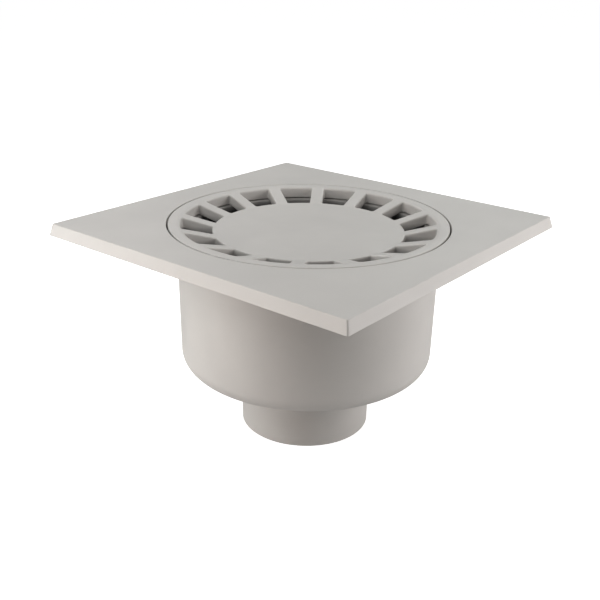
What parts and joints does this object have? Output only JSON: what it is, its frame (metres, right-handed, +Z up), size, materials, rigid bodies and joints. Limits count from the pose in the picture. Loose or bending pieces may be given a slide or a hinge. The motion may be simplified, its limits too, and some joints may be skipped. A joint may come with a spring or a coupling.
{
  "type": "gully trap",
  "caption": "Square floor gully trap with a round dished slotted grate, a bell water seal and a vertical outlet pipe.",
  "frame": {"origin": "centre of the outlet pipe's lower end, in the plane that the trap stands on", "axes": "+Z up along the outlet's axis, X and Y along the flange's sides"},
  "size_m": [0.2, 0.2, 0.1225],
  "materials": {
    "body_plastic": "satin moulded PVC, warm light grey",
    "grate_plastic": "satin moulded PVC, warm light grey",
    "bell_plastic": "satin moulded PVC, warm light grey"
  },
  "bodies": {
    "root": {"trap_body": "body_plastic", "grate": "grate_plastic", "bell": "bell_plastic"}
  },
  "joints": []
}
